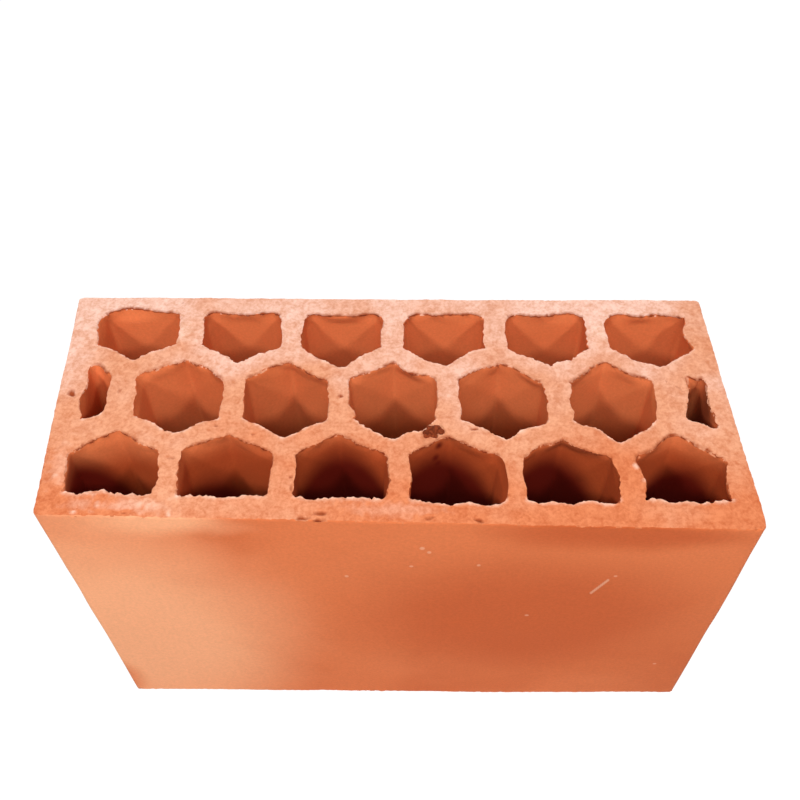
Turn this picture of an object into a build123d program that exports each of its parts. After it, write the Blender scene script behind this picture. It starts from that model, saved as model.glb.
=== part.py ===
"""Honeycomb clay brick, extruded as one column of clay and cut to height by wire.

The part is one fired solid. It stands with its cells upright, on its lower cut face.
The origin is the middle of that face, X runs along the length and Z points up.
"""

import os
from math import sqrt

from build123d import *

# Overall size of the brick, in millimetres
brick_length = 240.0
brick_width = 100.0
brick_height = 150.0

# Clay left standing round the die cores, with thicker ribs at the small cells of the two ends
face_wall = 8.0
end_wall = 7.0
rib = 8.0
end_rib = 11.0

# One cell of the honeycomb
cell_across_flats = 31.0
cell_corner_radius = 1.5

# A clipped cell narrower than this is not cored, so the clay there stays solid
least_cell_width = 6.0

# Upright outer corners, rounded by the mouth of the die
arris_radius = 2.0

# The honeycomb: equal ribs put the rows a fixed share of the cell pitch apart
cell_pitch = cell_across_flats + rib
row_pitch = cell_pitch * sqrt(3) / 2
cell_side = cell_across_flats / sqrt(3)

# The two small cells at the ends of the middle row, drawn in by their thicker ribs
end_cell_across_flats = cell_across_flats - 2 * (end_rib - rib)

# The zone inside the outer walls, which every cell is clipped to
core_length = brick_length - 2 * end_wall
core_width = brick_width - 2 * face_wall


def hexagon_outline(across_flats):
    """A cell of the middle row, with a point towards each long face and its flats across the length."""
    half = across_flats / 2
    side = across_flats / sqrt(3)
    right_side = [(0, side), (half, side / 2), (half, -side / 2)]
    left_side = [(-x, -y) for x, y in right_side]
    return make_face(Polyline(right_side + left_side, close=True))


def gable_outline():
    """A cell of the back row: a point towards the middle row, then straight sides to the outer wall."""
    half = cell_across_flats / 2
    past_the_wall = core_width
    points = [
        (0, -cell_side),
        (half, -cell_side / 2),
        (half, past_the_wall),
        (-half, past_the_wall),
        (-half, -cell_side / 2),
    ]
    return make_face(Polyline(points, close=True))


def row_places(first_x):
    """Cell centres along a row, spread both ways from first_x until they leave the core zone."""
    steps = int(core_length / 2 / cell_pitch) + 1
    return [first_x + i * cell_pitch for i in range(-steps - 1, steps + 1)]


def cored_cell(outline, core_zone):
    """A cell clipped by the outer walls with its corners rounded, or None where too little is left to core."""
    clipped = core_zone & outline
    if not clipped:
        return None
    size = clipped.bounding_box().size
    if min(size.X, size.Y) < least_cell_width:
        return None
    shrunk = offset(clipped.face(), -cell_corner_radius, kind=Kind.INTERSECTION)
    return offset(shrunk.face(), cell_corner_radius, kind=Kind.ARC).face()


def honeycomb():
    """Every cell of the section: a middle row of hexagons between two rows of gables."""
    core_zone = Rectangle(core_length, core_width)
    whole_cell = hexagon_outline(cell_across_flats)
    end_cell = hexagon_outline(end_cell_across_flats)
    back_gable = gable_outline()
    front_gable = mirror(back_gable, about=Plane.XZ)
    outlines = []
    for x in row_places(0):
        is_whole = abs(x) + cell_across_flats / 2 <= core_length / 2
        outlines.append(Pos(x, 0) * (whole_cell if is_whole else end_cell))
    for x in row_places(cell_pitch / 2):
        outlines += [Pos(x, row_pitch) * back_gable, Pos(x, -row_pitch) * front_gable]
    cells = [cored_cell(outline, core_zone) for outline in outlines]
    return [cell for cell in cells if cell]


def make_brick():
    """The section of the clay column, cut to the brick's height."""
    section = RectangleRounded(brick_length, brick_width, arris_radius)
    section -= honeycomb()
    return extrude(section, brick_height, dir=(0, 0, 1))


if __name__ == "__main__":
    os.makedirs("parts", exist_ok=True)
    brick = make_brick()
    export_step(brick, "parts/brick.step")
    print("brick", len(brick.solids()), "solid, volume", round(brick.volume), "mm3, faces", len(brick.faces()))
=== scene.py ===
"""Honeycomb clay brick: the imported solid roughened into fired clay, on a pale floor in soft light."""

from math import radians

import bpy
from mathutils import Matrix, Vector, noise
from mathutils.bvhtree import BVHTree


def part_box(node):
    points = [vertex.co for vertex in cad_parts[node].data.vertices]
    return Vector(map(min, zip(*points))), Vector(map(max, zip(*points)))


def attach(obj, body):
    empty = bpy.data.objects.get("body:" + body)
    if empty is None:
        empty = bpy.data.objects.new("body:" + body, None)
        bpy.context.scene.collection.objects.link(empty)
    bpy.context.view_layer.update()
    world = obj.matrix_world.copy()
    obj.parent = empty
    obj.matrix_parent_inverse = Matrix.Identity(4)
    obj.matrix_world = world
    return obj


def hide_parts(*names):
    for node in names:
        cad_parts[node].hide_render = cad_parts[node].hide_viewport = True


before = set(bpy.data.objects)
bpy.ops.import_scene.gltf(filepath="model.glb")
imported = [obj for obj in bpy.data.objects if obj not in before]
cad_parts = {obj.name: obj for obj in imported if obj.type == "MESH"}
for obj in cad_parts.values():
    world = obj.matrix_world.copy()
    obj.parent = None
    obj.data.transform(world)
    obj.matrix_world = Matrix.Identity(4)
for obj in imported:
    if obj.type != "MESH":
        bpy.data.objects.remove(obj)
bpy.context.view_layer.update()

# The brick
# One column of red clay, pushed through a die with hexagonal core formers, cut to height by a wire,
# dried and fired. The die leaves the sides and the cells smooth. The wire tears the two cut ends:
# it leaves them grainy and pitted, and crumbles the mouths of the cells.

mm = 0.001
brick_low, brick_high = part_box("brick")

bpy.ops.object.select_all(action="DESELECT")
brick = bpy.data.objects.new("fired_brick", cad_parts["brick"].data.copy())
bpy.context.scene.collection.objects.link(brick)
bpy.context.view_layer.objects.active = brick
brick.select_set(True)

merge_distance = 0.01 * mm
bpy.ops.object.mode_set(mode="EDIT")
bpy.ops.mesh.select_all(action="SELECT")
bpy.ops.mesh.remove_doubles(threshold=merge_distance)
bpy.ops.object.mode_set(mode="OBJECT")

# The smooth walls as the die made them, kept to find which wall a torn edge belongs to
corners = [corner.co.copy() for corner in brick.data.vertices]
wall_faces = [tuple(face.vertices) for face in brick.data.polygons if abs(face.normal.z) < 0.5]
walls = BVHTree.FromPolygons(corners, wall_faces)

clay_mesh_size = 0.7 * mm
clay = brick.modifiers.new("clay", "REMESH")
clay.mode = "VOXEL"
clay.voxel_size = clay_mesh_size
bpy.ops.object.modifier_apply(modifier=clay.name)

# Torn edges: how far the tear runs down a wall and over the cut face, the width of its teeth and of
# the slower waves under them, and how far they stand in or out. The wire, which came from the back,
# dragged the clay over the front edges of the cells, so their teeth are the largest.
tear_down = 2.8 * mm
tear_over = 3.2 * mm
tooth_width = 2.0 * mm
wave_width = 8 * mm
slanted_tear = 0.6 * mm
dragged_tear = 1.3 * mm
outside_tear = 0.3 * mm
mouth_wave = 1.5 * mm
crumbled_rim = 0.5 * mm
calm_stretch = 26 * mm
rim_width = 1.7 * mm

# Ribs that sagged out of line before firing, at the upper end: x, y, reach and the move along x and y
sagged_down = 22 * mm
sagged_ribs = [
    (-78, -34, 15, 0.9, 0),
    (-39, -34, 15, 0.8, 0),
    (0, -34, 16, 2.4, 0),
    (39, -34, 16, 2.5, 0),
    (78, -34, 15, 1.6, 0),
    (-78, -20, 13, 0.4, 2.0),
    (-19.5, 4, 13, -1.0, 0),
    (58.5, 0, 14, 1.0, 0),
    (-107, 13, 14, 0, 3.6),
    (-92, 18, 12, 0, 1.8),
    (-64, 18, 12, 0, 1.6),
    (-29, 19, 10, -0.6, -1.3),
    (9, 20, 10, -0.5, -1.2),
    (30, 19, 10, 0, 0.9),
    (0, 30, 12, -0.8, 0),
    (78, 32, 14, -1.2, 0),
]

# Walls whose upper edge was pushed into its cell, or out of it where the push is below nothing:
# x, y, reach and push
pushed_down = 7 * mm
pushed_walls = [
    (-113, -38, 7, 0.8),
    (-97, -42, 12, 1.0),
    (-111, -41, 6, 1.2),
    (-84, -42, 7, 1.5),
    (-92, -19, 8, -0.6),
    (-83, -25, 5, 0.8),
    (-66, -20, 9, -0.7),
    (-82, -33, 10, -0.7),
    (-74, -33, 12, -1.5),
    (-43, -30, 8, -0.6),
    (-35, -34, 10, 1.2),
    (-4, -34, 10, -0.6),
    (4, -25, 6, 0.8),
    (20, -42, 15, -1.6),
    (9, -42, 6, -0.9),
    (33, -42, 10, -1.7),
    (35, -30, 12, -2.0),
    (58, -42, 13, -1.0),
    (46, -42, 9, -1.2),
    (71, -42, 9, -1.1),
    (43, -32, 12, -0.6),
    (58.5, -17, 9, 1.2),
    (66, -21, 9, 2.0),
    (97.5, -17, 9, -1.8),
    (90, -20, 7, -0.6),
    (105, -21, 8, -0.9),
    (83, -33, 10, 1.0),
    (86, -40, 7, 1.0),
    (113, -36, 10, 1.6),
    (-17, -6, 5, 1.2),
    (-15, -8, 8, 1.5),
    (10, -12.5, 6, -2.2),
    (15.5, -6, 5, 1.2),
    (-8, 14, 8, -0.8),
    (8, 14, 8, 1.2),
    (-93, 3, 9, -0.8),
    (-93, -5, 7, -0.6),
    (-86, -12, 8, 1.2),
    (-69, -12, 8, 1.2),
    (-54, 5, 7, -0.8),
    (-34, 15, 10, 1.4),
    (24, -3, 9, 0.9),
    (31, -13, 9, 1.4),
    (45, -13, 9, 1.4),
    (39, -18, 5, 1.0),
    (39, 18, 6, 1.0),
    (52, 10, 7, 0.8),
    (70, -13, 8, 2.0),
    (62.5, 4, 7, 1.0),
    (66, 11, 8, 1.8),
    (64, -7, 6, 1.0),
    (-104, 42, 12, -2.0),
    (-113, 33, 10, -1.6),
    (-84, 26, 7, 1.5),
    (-82, 34, 8, 1.0),
    (-74, 30, 9, 1.3),
    (-74, 25, 5, 0.7),
    (-43, 26, 6, 0.9),
    (-35, 32, 10, -1.1),
    (-35, 42, 20, 0.8),
    (-58, 42, 14, 0.6),
    (-18, 42, 12, 1.0),
    (-4, 32, 10, 0.7),
    (32, 26, 7, 1.2),
    (43, 30, 9, -0.8),
    (58.5, 17, 8, 0.9),
    (82, 34, 9, -0.8),
    (85, 24, 6, 0.8),
    (113, 33, 13, 3.0),
    (111, 36, 6, 1.2),
    (68, 26, 7, 1.4),
    (-110, -10.5, 5, 1.0),
    (104.5, 8, 4, 1.5),
    (-110, 11, 4, -1.0),
    (-113, -8, 5, 1.0),
    (104.5, 6, 5, 2.4),
    (104.5, 1, 5, 1.2),
    (104.5, -7, 4, -0.9),
    (108.2, 9.3, 3, -1.8),
    (110.6, 10.6, 1.6, 0.9),
    (113, -11, 3, -1.0),
]

# The back corners of the back row, where the clay closed up behind the core formers
cell_pitch = 39
half_cell = 15.5
for cell in range(6):
    for side in (-half_cell, half_cell):
        pushed_walls.append(((cell - 2.5) * cell_pitch + side, 42, 4.5, 1.3))

# Outer faces that dried out of square: their axis and side, and how far they stand out in millimetres,
# low and high at the end with the smaller x or y, then low and high at the other end
skewed_depth = 7 * mm
skewed_faces = [
    (0, -1, (0.2, 0.0), (2.0, 4.6)),
    (0, 1, (2.5, 0.9), (0.0, -1.2)),
    (1, -1, (1.9, 0.0), (-0.7, 2.6)),
]

# Pits, flakes and specks in the upper cut face: x, y, length, width, turn in degrees and depth.
# Flakes and specks of lime have a depth below nothing, because they stand up.
pits = [
    (-24.3, -47.6, 6.5, 1.8, 6, 0.9),
    (-30.5, -49.3, 4.5, 1.8, -5, 0.8),
    (-25.2, -50.0, 5.0, 1.8, 0, 0.9),
    (11.6, -48.3, 6.5, 1.6, 8, 0.7),
    (27.6, -48.7, 5.5, 1.8, -12, 0.8),
    (-89.5, -48.5, 6.0, 1.6, 14, 0.6),
    (-116.2, 1.2, 2.4, 4.6, 20, 0.9),
    (-100.1, 2.3, 2.2, 2.6, 0, 0.5),
    (-63.0, -12.7, 2.2, 1.8, 0, 0.6),
    (-77.3, -27.4, 5.0, 1.2, 0, 0.5),
    (-36.5, -34.0, 2.4, 2.4, 0, 0.7),
    (-36.0, -38.5, 2.0, 4.0, 10, 0.6),
    (-18.5, 1.5, 2.2, 2.6, 0, 0.7),
    (28.0, -13.5, 4.5, 2.0, 10, 0.7),
    (101.5, 6.5, 1.2, 7.0, 28, 0.4),
    (99.0, 9.5, 1.0, 4.0, 10, 0.4),
    (80.7, -28.3, 3.0, 2.4, 30, -0.7),
    (85.8, -29.8, 2.4, 3.4, 60, -0.6),
    (82.4, -33.9, 3.0, 2.2, -20, -0.6),
    (-106.3, -48.9, 2.4, 1.8, 0, -0.5),
    (-74.8, -49.1, 2.0, 1.6, 0, -0.5),
    (-115.6, -34.9, 2.4, 2.0, 0, -0.5),
    (-112.9, 21.0, 3.0, 2.4, 30, -0.5),
    (-79.1, 31.7, 2.6, 5.0, 20, -0.4),
    # The broad shallow patches from here on stand up little and turn paler through torn_shade: painted
    # sheen on the back ribs at y 32 and 33, and paler patches at the left end and along the front strip
    (-81, 32, 10, 14, 20, -0.6),
    (-114, -30, 9, 24, 0, -0.3),
    (0, -46, 50, 7, 0, -0.25),
    (-86, -46, 30, 7, 0, -0.4),
    (-105, -46, 14, 6, 0, -0.3),
    (62, 33, 12, 14, 0, -0.45),
    (80, 33, 12, 14, 0, -0.45),
]

# Grain of the cut faces, and small pits strewn over them
grain_sizes = [(1.7 * mm, 0.16 * mm), (5.5 * mm, 0.22 * mm)]
strewn_pitch = 7 * mm
strewn_share = 0.3
strewn_radius = 1.0 * mm
strewn_depth = 0.45 * mm


def fade(distance, reach):
    """1 at no distance, falling smoothly to 0 at reach."""
    share = min(max(1 - distance / reach, 0), 1)
    return share * share * (3 - 2 * share)


def torn(spot):
    """How far an edge is torn at a spot: teeth with smaller teeth on them, fiercer on some stretches."""
    teeth = noise.noise(spot / tooth_width) + 0.6 * noise.noise(spot / tooth_width * 2.3)
    return teeth * (0.85 + 0.8 * noise.noise(spot / calm_stretch))


def reached(spot, moves):
    """The moves that reach a spot, each cut down by its distance to the spot."""
    for x, y, reach, *move in moves:
        away = ((spot.x - x * mm) ** 2 + (spot.y - y * mm) ** 2) ** 0.5
        if away < reach * mm:
            yield Vector(move + [0]) * mm * fade(away, reach * mm)


def skewed(place):
    """The move of a place with the skewed outer faces, which fades with its depth in the wall."""
    move = Vector((0, 0, 0))
    up = place.z / brick_high.z
    for axis, side, first_end, second_end in skewed_faces:
        deep = brick_high[axis] - side * place[axis]
        if deep < skewed_depth:
            along = 0.5 + 0.5 * place[1 - axis] / brick_high[1 - axis]
            low, high = (start + (end - start) * along for start, end in zip(first_end, second_end))
            move[axis] += side * (low + (high - low) * up) * mm * (1 - deep / skewed_depth)
    return move


def pitted(place):
    """How deep the upper cut face is pitted at a place."""
    depth = 0
    ragged = 1 + 0.7 * noise.noise(place / tooth_width)
    for x, y, length, width, turn, deepest in pits:
        off = Matrix.Rotation(-radians(turn), 2) @ (place.xy - Vector((x, y)) * mm)
        share = Vector((off.x / (length * mm), off.y / (width * mm))).length
        depth += deepest * mm * fade(share * ragged, 0.6)
    return depth


def strewn(place):
    """How deep the small strewn pits are at a place."""
    gaps, middles = noise.voronoi(place / strewn_pitch)
    if abs(noise.cell(middles[0] * 7.3)) > strewn_share:
        return 0
    ragged = 1 + noise.noise(place / (strewn_radius * 0.6))
    return strewn_depth * fade(gaps[0] * strewn_pitch * ragged, strewn_radius)


def grained(place):
    """How far the wire's tearing grain lies below the cut plane at a place."""
    return sum(height * (0.5 + noise.noise(place / size)) for size, height in grain_sizes)


# The painted shade and highlight that the tearing gives each point: below 0 darker in a hollow, as
# painted shade on the hollow's own darker colour, and under a torn rim; above 0 paler on a burr and on
# what stands up. Points of the cell walls are marked too, so that the painted shade in the cells stays
# off the skin.
full_shade = 0.6 * mm
skin_depth = 4 * mm
shades = [0.0] * len(brick.data.vertices)
cell_marks = [0.0] * len(brick.data.vertices)
for index, point in enumerate(brick.data.vertices):
    place = point.co.copy()
    if abs(place.x) < brick_high.x - skin_depth and abs(place.y) < brick_high.y - skin_depth:
        cell_marks[index] = 1.0
    point.co += skewed(place)
    upper = place.z > brick_high.z / 2
    down = min(brick_high.z - place.z, place.z)
    if upper and down < sagged_down:
        sagged = sum((move.xy for move in reached(place, sagged_ribs)), Vector((0, 0)))
        point.co.xy += sagged * fade(down, sagged_down)
    if down > pushed_down:
        continue
    spot, facing, _, over = walls.find_nearest(place)
    outside = abs(spot.x) > brick_high.x - mm or abs(spot.y) > brick_high.y - mm
    pull = 0
    if down < tear_down and over < tear_over:
        dragged = max(facing.y, 0) ** 8
        height = outside_tear if outside else slanted_tear + (dragged_tear - slanted_tear) * dragged
        pull = height * torn(spot) * fade(down, tear_down) * fade(over, tear_over)
        shades[index] = 0.2 * pull / full_shade
    # Painted highlight on the rims at the front of each mouth and painted shadow under the rims at the
    # back
    if not outside and down < rim_width and over < rim_width:
        rim = fade(down, rim_width) * fade(over, rim_width)
        shades[index] += 1.2 * rim * facing.y * (0.7 + noise.noise(spot / tooth_width))
    if upper and not outside:
        pushed = sum(move.x for move in reached(spot, pushed_walls))
        pushed += mouth_wave * noise.noise(spot / wave_width)
        pull += pushed * fade(down, pushed_down) * fade(over, tear_over * 2)
    point.co += facing * pull
    if down < mm:
        hollow = strewn(place) + (pitted(place) if upper else 0)
        sunk = hollow + grained(place) + crumbled_rim * max(torn(place), 0) * fade(over, tear_over / 2)
        point.co.z += -sunk if upper else sunk
        shades[index] -= hollow / full_shade
torn_shade = brick.data.attributes.new("torn_shade", "FLOAT", "POINT")
torn_shade.data.foreach_set("value", shades)
in_cells = brick.data.attributes.new("in_cells", "FLOAT", "POINT")
in_cells.data.foreach_set("value", cell_marks)

# Drying: the walls bow a little, and the whole brick leans out of square along its length
bow_size = 42 * mm
bow_height = 0.9 * mm
lean = -0.03
bow_pattern = bpy.data.textures.new("drying_bow", "CLOUDS")
bow_pattern.cloud_type = "COLOR"
bow_pattern.noise_scale = bow_size
bow_pattern.noise_depth = 1
bow = brick.modifiers.new("drying", "DISPLACE")
bow.texture = bow_pattern
bow.texture_coords = "LOCAL"
bow.direction = "RGB_TO_XYZ"
bow.mid_level = 0.5
bow.strength = bow_height
bpy.ops.object.modifier_apply(modifier=bow.name)
squareness = Matrix.Identity(4)
squareness[0][1] = lean
brick.data.transform(squareness)

# It stands on the high spots of its lower cut face, which wore flat against the kiln car
for point in brick.data.vertices:
    point.co.z = max(point.co.z, brick_low.z)

most_triangles = 190000
fewer = brick.modifiers.new("fewer", "DECIMATE")
fewer.ratio = most_triangles / (2 * len(brick.data.polygons))
bpy.ops.object.modifier_apply(modifier=fewer.name)
sharp_edge = radians(32)
bpy.ops.object.shade_smooth_by_angle(angle=sharp_edge)


def linear(hex_colour):
    """The linear colour of an sRGB hex value."""
    channels = [int(hex_colour[i:i + 2], 16) / 255 for i in (1, 3, 5)]
    return [c / 12.92 if c <= 0.04045 else ((c + 0.055) / 1.055) ** 2.4 for c in channels] + [1.0]


def add_node(tree, kind, inputs, **settings):
    """Adds a node with its settings, and gives each named or numbered input a value or a link."""
    node = tree.nodes.new(kind)
    for name, value in settings.items():
        setattr(node, name, value)
    for name, value in inputs.items():
        if isinstance(value, bpy.types.NodeSocket):
            tree.links.new(value, node.inputs[name])
        else:
            node.inputs[name].default_value = value
    return node


# Wire-cut red clay: the torn inside of the column, paler than its skin and quite matt, finely grained,
# drifting at random from orange to a pale pink. Painted light makes it paler towards the back and more
# orange at the front, and through torn_shade burrs get a painted highlight and hollows a painted shade
cut_pale = "#F2C6B4"
cut_salmon = "#E29E7A"
cut_orange = "#D98155"
cut_dark = "#9C4A26"
cut_painted_highlight = "#F6CDB8"
cut_grain = "#EACFBC"
drift_size = 34 * mm
painted_light_slope = (0.3, -6.4, 0.0)
clot_size = 3.2 * mm
grain_size = 1.1 * mm

wire_cut_clay = bpy.data.materials.new("wire_cut_clay")
wire_cut_clay.use_nodes = True
tree = wire_cut_clay.node_tree
tree.nodes.clear()
places = add_node(tree, "ShaderNodeTexCoord", {}).outputs["Object"]
drift = add_node(
    tree, "ShaderNodeTexNoise", {"Vector": places, "Scale": 1 / drift_size, "Detail": 4.0}).outputs[0]
# Painted light: the cut face turns paler towards the back and more orange at the front and to the right
slope = add_node(
    tree, "ShaderNodeVectorMath", {0: places, 1: painted_light_slope},
    operation="DOT_PRODUCT").outputs["Value"]
drift = add_node(tree, "ShaderNodeMath", {0: drift, 1: slope}, operation="ADD").outputs[0]
to_pale = add_node(
    tree, "ShaderNodeMapRange", {"Value": drift, "From Min": 0.52, "From Max": 0.12},
    interpolation_type="SMOOTHSTEP").outputs[0]
to_orange = add_node(
    tree, "ShaderNodeMapRange", {"Value": drift, "From Min": 0.5, "From Max": 0.85},
    interpolation_type="SMOOTHSTEP").outputs[0]
colour = add_node(
    tree, "ShaderNodeMix", {0: to_pale, 6: linear(cut_salmon), 7: linear(cut_pale)},
    data_type="RGBA").outputs[2]
colour = add_node(
    tree, "ShaderNodeMix", {0: to_orange, 6: colour, 7: linear(cut_orange)},
    data_type="RGBA").outputs[2]
shade = add_node(tree, "ShaderNodeAttribute", {}, attribute_name="torn_shade").outputs["Fac"]
# Painted highlight on burrs and on what stands up, and painted shade in hollows, from torn_shade
to_highlight = add_node(
    tree, "ShaderNodeMapRange",
    {"Value": shade, "From Min": 0.1, "From Max": 0.9, "To Max": 0.7}).outputs[0]
to_dark = add_node(
    tree, "ShaderNodeMapRange", {"Value": shade, "From Min": -0.25, "From Max": -1.1}).outputs[0]
colour = add_node(
    tree, "ShaderNodeMix", {0: to_highlight, 6: colour, 7: linear(cut_painted_highlight)},
    data_type="RGBA").outputs[2]
colour = add_node(
    tree, "ShaderNodeMix", {0: to_dark, 6: colour, 7: linear(cut_dark)},
    data_type="RGBA").outputs[2]
grain = add_node(
    tree, "ShaderNodeTexNoise",
    {"Vector": places, "Scale": 1 / grain_size, "Detail": 4.0, "Roughness": 0.65}).outputs[0]
clots = add_node(
    tree, "ShaderNodeTexNoise",
    {"Vector": places, "Scale": 1 / clot_size, "Detail": 3.0, "Distortion": 0.6}).outputs[0]
rough = add_node(tree, "ShaderNodeMix", {0: 0.5, 2: grain, 3: clots}).outputs[0]
to_grain = add_node(
    tree, "ShaderNodeMapRange", {"Value": rough, "From Min": 0.6, "From Max": 0.36}).outputs[0]
grained_clay = add_node(
    tree, "ShaderNodeMix", {0: to_grain, 6: (1.06, 1.06, 1.06, 1.0), 7: linear(cut_grain)},
    data_type="RGBA").outputs[2]
colour = add_node(
    tree, "ShaderNodeMix", {0: 1.0, 6: colour, 7: grained_clay},
    data_type="RGBA", blend_type="MULTIPLY").outputs[2]
relief = add_node(
    tree, "ShaderNodeBump", {"Strength": 0.7, "Distance": 0.5 * mm, "Height": rough}).outputs[0]
surface = add_node(
    tree, "ShaderNodeBsdfPrincipled",
    {"Base Color": colour, "Roughness": 0.92, "IOR": 1.5, "Specular IOR Level": 0.2, "Normal": relief})
add_node(tree, "ShaderNodeOutputMaterial", {"Surface": surface.outputs[0]})

# Die-skinned red clay: the column's skin, smoothed by the die and coloured by the fire, deeper orange
# and a little satin, with broad soft clouds, a pale painted sheen at one end, painted shade darkening
# the cell walls, most in the front row and deeper down, painted shadow under torn rims, a few specks of
# lime and faint lines down the column
skin_orange = "#E07A49"
skin_brown = "#CA6032"
skin_painted_sheen = "#FAAE80"
skin_painted_shade = "#B24D25"
skin_painted_dark_shade = "#621003"
skin_speck = "#F4C9A8"
cloud_size = 75 * mm
cloud_wander = 18 * mm
line_width = 1.6 * mm
line_length = 80 * mm

# Soft patches on the skin: middle, half sizes and colour. The two pale ones at the left end are painted
# sheen; the brown ones darken the front towards the right, and the orange one lies at its lower left
# corner
skin_clouds_and_sheen = [
    ((-112, -52, 55), (92, 40, 128), skin_painted_sheen),
    ((-78, -52, 146), (40, 20, 14), skin_painted_sheen),
    ((46, -52, 78), (100, 30, 68), skin_brown),
    ((75, -52, 144), (60, 16, 16), skin_brown),
    ((-132, -52, 10), (18, 24, 40), skin_orange),
]

# Painted shade in the cells: a broad darkening over the front and middle rows, growing from the mouths
# down, dark patches in the end cells and in each front cell, and three dark spots down a wall below the
# clod as painted shadow of tiny crumbs: middle, half sizes, colour, and the shares of these sizes where
# they begin and where they are full
painted_cell_shade = [
    ((25, -45, 40), (270, 78, 115), skin_painted_shade, 1.09, 0.96),
    ((-112, 0, 112), (8, 22, 50), skin_painted_shade, 1.0, 0.5),
    ((109, 0, 110), (16, 18, 70), skin_painted_dark_shade, 1.0, 0.3),
    ((-114, -32, 72), (24, 30, 78), skin_painted_dark_shade, 1.05, 0.85),
    ((-66, -32, 66), (22, 30, 72), skin_painted_dark_shade, 1.05, 0.80),
    ((-18, -30, 72), (25, 30, 80), skin_painted_dark_shade, 1.05, 0.85),
    ((17, -30, 72), (28, 30, 79), skin_painted_dark_shade, 1.05, 0.85),
    ((55, -30, 72), (26, 30, 79), skin_painted_dark_shade, 1.05, 0.85),
    ((103, -30, 70), (21, 30, 75), skin_painted_dark_shade, 1.05, 0.85),
    ((16.0, -17.6, 146.2), (2.4, 3, 3.2), skin_painted_dark_shade, 1.0, 0.0),
    ((15.0, -18.4, 139.6), (2.1, 3, 3.2), skin_painted_dark_shade, 1.0, 0.0),
    ((15.9, -18.0, 135.6), (1.9, 3, 2.6), skin_painted_dark_shade, 1.0, 0.0),
]

# Specks of lime on the front, and a short scratch drawn with more of them: x, z and half sizes
lime_specks = [
    (30.4, 121.3, 0.9, 1.1),
    (50.8, 81.2, 1.1, 1.0),
    (108.6, 35.2, 1.0, 1.0),
    (-16.5, 111.0, 1.0, 1.2),
    (10.6, 132.6, 1.2, 1.4),
    (13.0, 129.8, 1.0, 1.2),
    (6.8, 119.5, 1.0, 0.9),
    (79.0, 115.0, 0.9, 0.9),
]
scratch_steps = 9
for step in range(scratch_steps):
    lime_specks.append((72.4 + 0.55 * step, 101.6 + 1.25 * step, 0.75, 1.5))

die_skin_clay = bpy.data.materials.new("die_skin_clay")
die_skin_clay.use_nodes = True
tree = die_skin_clay.node_tree
tree.nodes.clear()
places = add_node(tree, "ShaderNodeTexCoord", {}).outputs["Object"]
cloud = add_node(
    tree, "ShaderNodeTexNoise",
    {"Vector": places, "Scale": 1 / cloud_size, "Detail": 4.0, "Distortion": 0.4})
to_brown = add_node(
    tree, "ShaderNodeMapRange",
    {"Value": cloud.outputs[0], "From Min": 0.45, "From Max": 0.75, "To Max": 0.6},
    interpolation_type="SMOOTHSTEP").outputs[0]
colour = add_node(
    tree, "ShaderNodeMix", {0: to_brown, 6: linear(skin_orange), 7: linear(skin_brown)},
    data_type="RGBA").outputs[2]
wander = add_node(
    tree, "ShaderNodeVectorMath",
    {0: cloud.outputs["Color"], 1: (2 * cloud_wander,) * 3, 2: (-cloud_wander,) * 3},
    operation="MULTIPLY_ADD").outputs[0]
wandered = add_node(tree, "ShaderNodeVectorMath", {0: places, 1: wander}, operation="ADD").outputs[0]
inside = add_node(tree, "ShaderNodeAttribute", {}, attribute_name="in_cells").outputs["Fac"]
marks = [(wandered, *cloud, 1.0, 0.3, 1.0) for cloud in skin_clouds_and_sheen]
marks += [(places, *painted_shade_mark, inside) for painted_shade_mark in painted_cell_shade]
marks += [
    (places, (x, brick_low.y / mm, z), (wide, 12, high), skin_speck, 1.0, 0.4, 0.4)
    for x, z, wide, high in lime_specks]
for room, middle, half_sizes, tint, begins, full, most in marks:
    away = add_node(
        tree, "ShaderNodeVectorMath", {0: room, 1: Vector(middle) * mm},
        operation="SUBTRACT").outputs[0]
    away = add_node(
        tree, "ShaderNodeVectorMath", {0: away, 1: Vector(half_sizes) * mm},
        operation="DIVIDE").outputs[0]
    away = add_node(tree, "ShaderNodeVectorMath", {0: away}, operation="LENGTH").outputs["Value"]
    share = add_node(
        tree, "ShaderNodeMapRange",
        {"Value": away, "From Min": begins, "From Max": full, "To Max": most},
        interpolation_type="SMOOTHSTEP").outputs[0]
    colour = add_node(
        tree, "ShaderNodeMix", {0: share, 6: colour, 7: linear(tint)}, data_type="RGBA").outputs[2]
# Painted shadow under the torn rims at the back of the mouths, from torn_shade
shade = add_node(tree, "ShaderNodeAttribute", {}, attribute_name="torn_shade").outputs["Fac"]
to_rim_shade = add_node(
    tree, "ShaderNodeMapRange",
    {"Value": shade, "From Min": -0.15, "From Max": -0.9, "To Max": 0.8}).outputs[0]
colour = add_node(
    tree, "ShaderNodeMix", {0: to_rim_shade, 6: colour, 7: linear(skin_painted_dark_shade)}, data_type="RGBA").outputs[2]
line_room = add_node(
    tree, "ShaderNodeMapping",
    {"Vector": places, "Scale": (1 / line_width, 1 / line_width, 1 / line_length)}).outputs[0]
lines = add_node(
    tree, "ShaderNodeTexNoise", {"Vector": line_room, "Scale": 1.0, "Detail": 2.0}).outputs[0]
grain = add_node(
    tree, "ShaderNodeTexNoise",
    {"Vector": places, "Scale": 1 / grain_size, "Detail": 4.0, "Roughness": 0.7}).outputs[0]
rough = add_node(tree, "ShaderNodeMix", {0: 0.9, 2: lines, 3: grain}).outputs[0]
darker = add_node(
    tree, "ShaderNodeMapRange",
    {"Value": rough, "From Min": 0.3, "From Max": 0.7, "To Min": 0.92, "To Max": 1.08}).outputs[0]
colour = add_node(
    tree, "ShaderNodeMix", {0: 1.0, 6: colour, 7: darker},
    data_type="RGBA", blend_type="MULTIPLY").outputs[2]
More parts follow.
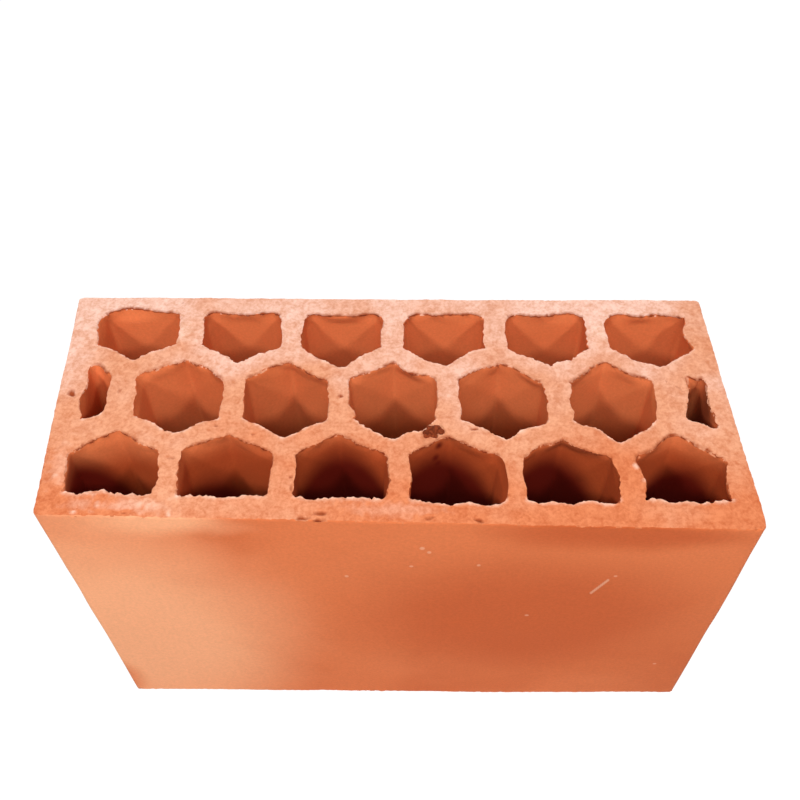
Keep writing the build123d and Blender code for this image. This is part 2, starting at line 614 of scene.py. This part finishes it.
relief = add_node(
    tree, "ShaderNodeBump", {"Strength": 0.25, "Distance": 0.12 * mm, "Height": rough}).outputs[0]
surface = add_node(
    tree, "ShaderNodeBsdfPrincipled",
    {"Base Color": colour, "Roughness": 0.75, "IOR": 1.5, "Specular IOR Level": 0.15, "Normal": relief})
add_node(tree, "ShaderNodeOutputMaterial", {"Surface": surface.outputs[0]})

# Faces that look up or down at least this much were torn by the wire, and the rest is die skin
least_upright = 0.45
brick.data.materials.clear()
brick.data.materials.append(die_skin_clay)
brick.data.materials.append(wire_cut_clay)
for face in brick.data.polygons:
    face.material_index = 1 if abs(face.normal.z) > least_upright else 0

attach(brick, "root")
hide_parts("brick")

# Crumbs
# Bits of clay that the wire rolled off the cut face into one small clod. It stuck to a rib beside a
# cell's mouth and burned darker than the brick in the kiln.

crumbs = [
    ((11.5, -15.7, 150.2), (1.5, 1.7, 1.5)),
    ((13.2, -14.8, 150.8), (1.7, 1.6, 1.6)),
    ((15.0, -14.2, 150.5), (1.6, 1.5, 1.4)),
    ((12.5, -13.5, 150.1), (1.2, 1.1, 1.2)),
    ((16.3, -14.5, 150.0), (1.1, 1.3, 1.0)),
    ((13.8, -16.4, 149.9), (1.2, 1.0, 1.0)),
]
crumb_mesh_size = 0.2 * mm
crumb_roughness = 1.3 * mm
crumb_pattern = bpy.data.textures.new("crumbled", "CLOUDS")
crumb_pattern.noise_scale = 1.5 * mm
crumb_pattern.noise_depth = 2
bpy.ops.object.select_all(action="DESELECT")
made = []
for middle, sizes in crumbs:
    spot = squareness @ (Vector(middle) * mm)
    bpy.ops.mesh.primitive_ico_sphere_add(subdivisions=3, radius=1, location=spot)
    crumb = bpy.context.object
    crumb.scale = Vector(sizes) * mm
    bpy.ops.object.transform_apply(location=True, rotation=False, scale=True)
    made.append(crumb)
for crumb in made:
    crumb.select_set(True)
stuck_crumbs = made[0]
bpy.context.view_layer.objects.active = stuck_crumbs
bpy.ops.object.join()
stuck_crumbs.name = "stuck_crumbs"
lump = stuck_crumbs.modifiers.new("lump", "REMESH")
lump.mode = "VOXEL"
lump.voxel_size = crumb_mesh_size
bpy.ops.object.modifier_apply(modifier=lump.name)
crumbled = stuck_crumbs.modifiers.new("crumbled", "DISPLACE")
crumbled.texture = crumb_pattern
crumbled.texture_coords = "LOCAL"
crumbled.mid_level = 0.5
crumbled.strength = crumb_roughness
bpy.ops.object.modifier_apply(modifier=crumbled.name)
crumb_edge = radians(50)
bpy.ops.object.shade_smooth_by_angle(angle=crumb_edge)

# Overburnt clay: dark brown, rough and matt, blotched with nearly black
crumb_brown = "#8C3E20"
crumb_black = "#60240E"
overburnt_clay = bpy.data.materials.new("overburnt_clay")
overburnt_clay.use_nodes = True
tree = overburnt_clay.node_tree
tree.nodes.clear()
places = add_node(tree, "ShaderNodeTexCoord", {}).outputs["Object"]
grain = add_node(
    tree, "ShaderNodeTexNoise", {"Vector": places, "Scale": 1 / grain_size, "Detail": 4.0}).outputs[0]
to_black = add_node(
    tree, "ShaderNodeMapRange", {"Value": grain, "From Min": 0.4, "From Max": 0.65}).outputs[0]
colour = add_node(
    tree, "ShaderNodeMix", {0: to_black, 6: linear(crumb_brown), 7: linear(crumb_black)},
    data_type="RGBA").outputs[2]
relief = add_node(
    tree, "ShaderNodeBump", {"Strength": 0.6, "Distance": 0.4 * mm, "Height": grain}).outputs[0]
surface = add_node(
    tree, "ShaderNodeBsdfPrincipled",
    {"Base Color": colour, "Roughness": 0.9, "IOR": 1.5, "Specular IOR Level": 0.15, "Normal": relief})
add_node(tree, "ShaderNodeOutputMaterial", {"Surface": surface.outputs[0]})
stuck_crumbs.data.materials.append(overburnt_clay)

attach(stuck_crumbs, "root")

# The floor
# A plain pale studio floor, which shows as white to the camera with the brick's faint shadow on it.



def seen_directly(tree):
    """1 for rays that show a surface to the camera, also by reflection or through glass, and else 0."""
    ray = add_node(tree, "ShaderNodeLightPath", {}).outputs
    seen = ray["Is Camera Ray"]
    for kind in ("Is Glossy Ray", "Is Transmission Ray"):
        seen = add_node(tree, "ShaderNodeMath", {0: seen, 1: ray[kind]}, operation="MAXIMUM").outputs[0]
    return seen


floor_size = 8.0
floor_grey = "#D0D0D0"
shadow_kept = 0.35
floor_glow = 1.3
bpy.ops.mesh.primitive_plane_add(size=floor_size, location=(0, 0, 0))
floor = bpy.context.object
floor.name = "studio_floor"
floor_paper = bpy.data.materials.new("matt_paper")
floor_paper.use_nodes = True
tree = floor_paper.node_tree
tree.nodes.clear()
seen = seen_directly(tree)
seen = add_node(tree, "ShaderNodeMath", {0: seen, 1: 1 - shadow_kept}, operation="MULTIPLY").outputs[0]
paper = add_node(tree, "ShaderNodeBsdfDiffuse", {"Color": linear(floor_grey)}).outputs[0]
white = add_node(tree, "ShaderNodeEmission", {"Strength": floor_glow}).outputs[0]
shown = add_node(tree, "ShaderNodeMixShader", {0: seen, 1: paper, 2: white}).outputs[0]
add_node(tree, "ShaderNodeOutputMaterial", {"Surface": shown})
floor.data.materials.append(floor_paper)

# The light
# Two small soft boxes at the front, left and right, as for a product picture, with larger ones high
# in front and behind, in a dim pale room that shows as white.

room_strength = 0.1
world = bpy.data.worlds.new("pale_room")
bpy.context.scene.world = world
world.use_nodes = True
tree = world.node_tree
tree.nodes.clear()
seen = seen_directly(tree)
room_white = linear("#FFFFFF")
room = add_node(
    tree, "ShaderNodeBackground", {"Color": room_white, "Strength": room_strength}).outputs[0]
white = add_node(tree, "ShaderNodeBackground", {"Color": room_white, "Strength": 1.0}).outputs[0]
shown = add_node(tree, "ShaderNodeMixShader", {0: seen, 1: room, 2: white}).outputs[0]
add_node(tree, "ShaderNodeOutputWorld", {"Surface": shown})

lit_point = Vector((0, 0, 0.1))
for name, place, side, watts in [
    ("left_softbox", (-0.388, -0.431, 0.672), 0.10, 2.5),
    ("right_softbox", (0.422, -0.470, 0.719), 0.10, 2.4),
    ("high_softbox", (0.0, -0.42, 0.90), 0.40, 4.2),
    ("back_softbox", (0.1, 1.0, 0.40), 0.5, 7.0),
]:
    bpy.ops.object.light_add(type="AREA", location=place)
    lamp = bpy.context.object
    lamp.name = name
    lamp.data.shape = "SQUARE"
    lamp.data.size = side
    lamp.data.energy = watts
    lamp.rotation_mode = "QUATERNION"
    lamp.rotation_quaternion = (lit_point - Vector(place)).to_track_quat("-Z", "Y")

# The camera
# It looks down on the brick from less than half a metre, a little to the right of its middle.

camera_place = (0.01059, -0.20933, 0.41625)
camera_down = radians(51.895)
camera_turn = radians(2.323)
camera_roll = radians(-1.321)
bpy.ops.object.camera_add(location=camera_place)
camera = bpy.context.object
camera.data.sensor_width = 36.0
camera.data.lens = 42.347
camera.data.clip_start = 0.01
camera.rotation_mode = "QUATERNION"
camera.rotation_quaternion = (
    Matrix.Rotation(camera_turn, 3, "Z")
    @ Matrix.Rotation(radians(90) - camera_down, 3, "X")
    @ Matrix.Rotation(camera_roll, 3, "Z")
).to_quaternion()
bpy.context.scene.camera = camera
bpy.context.scene.view_settings.view_transform = "Standard"
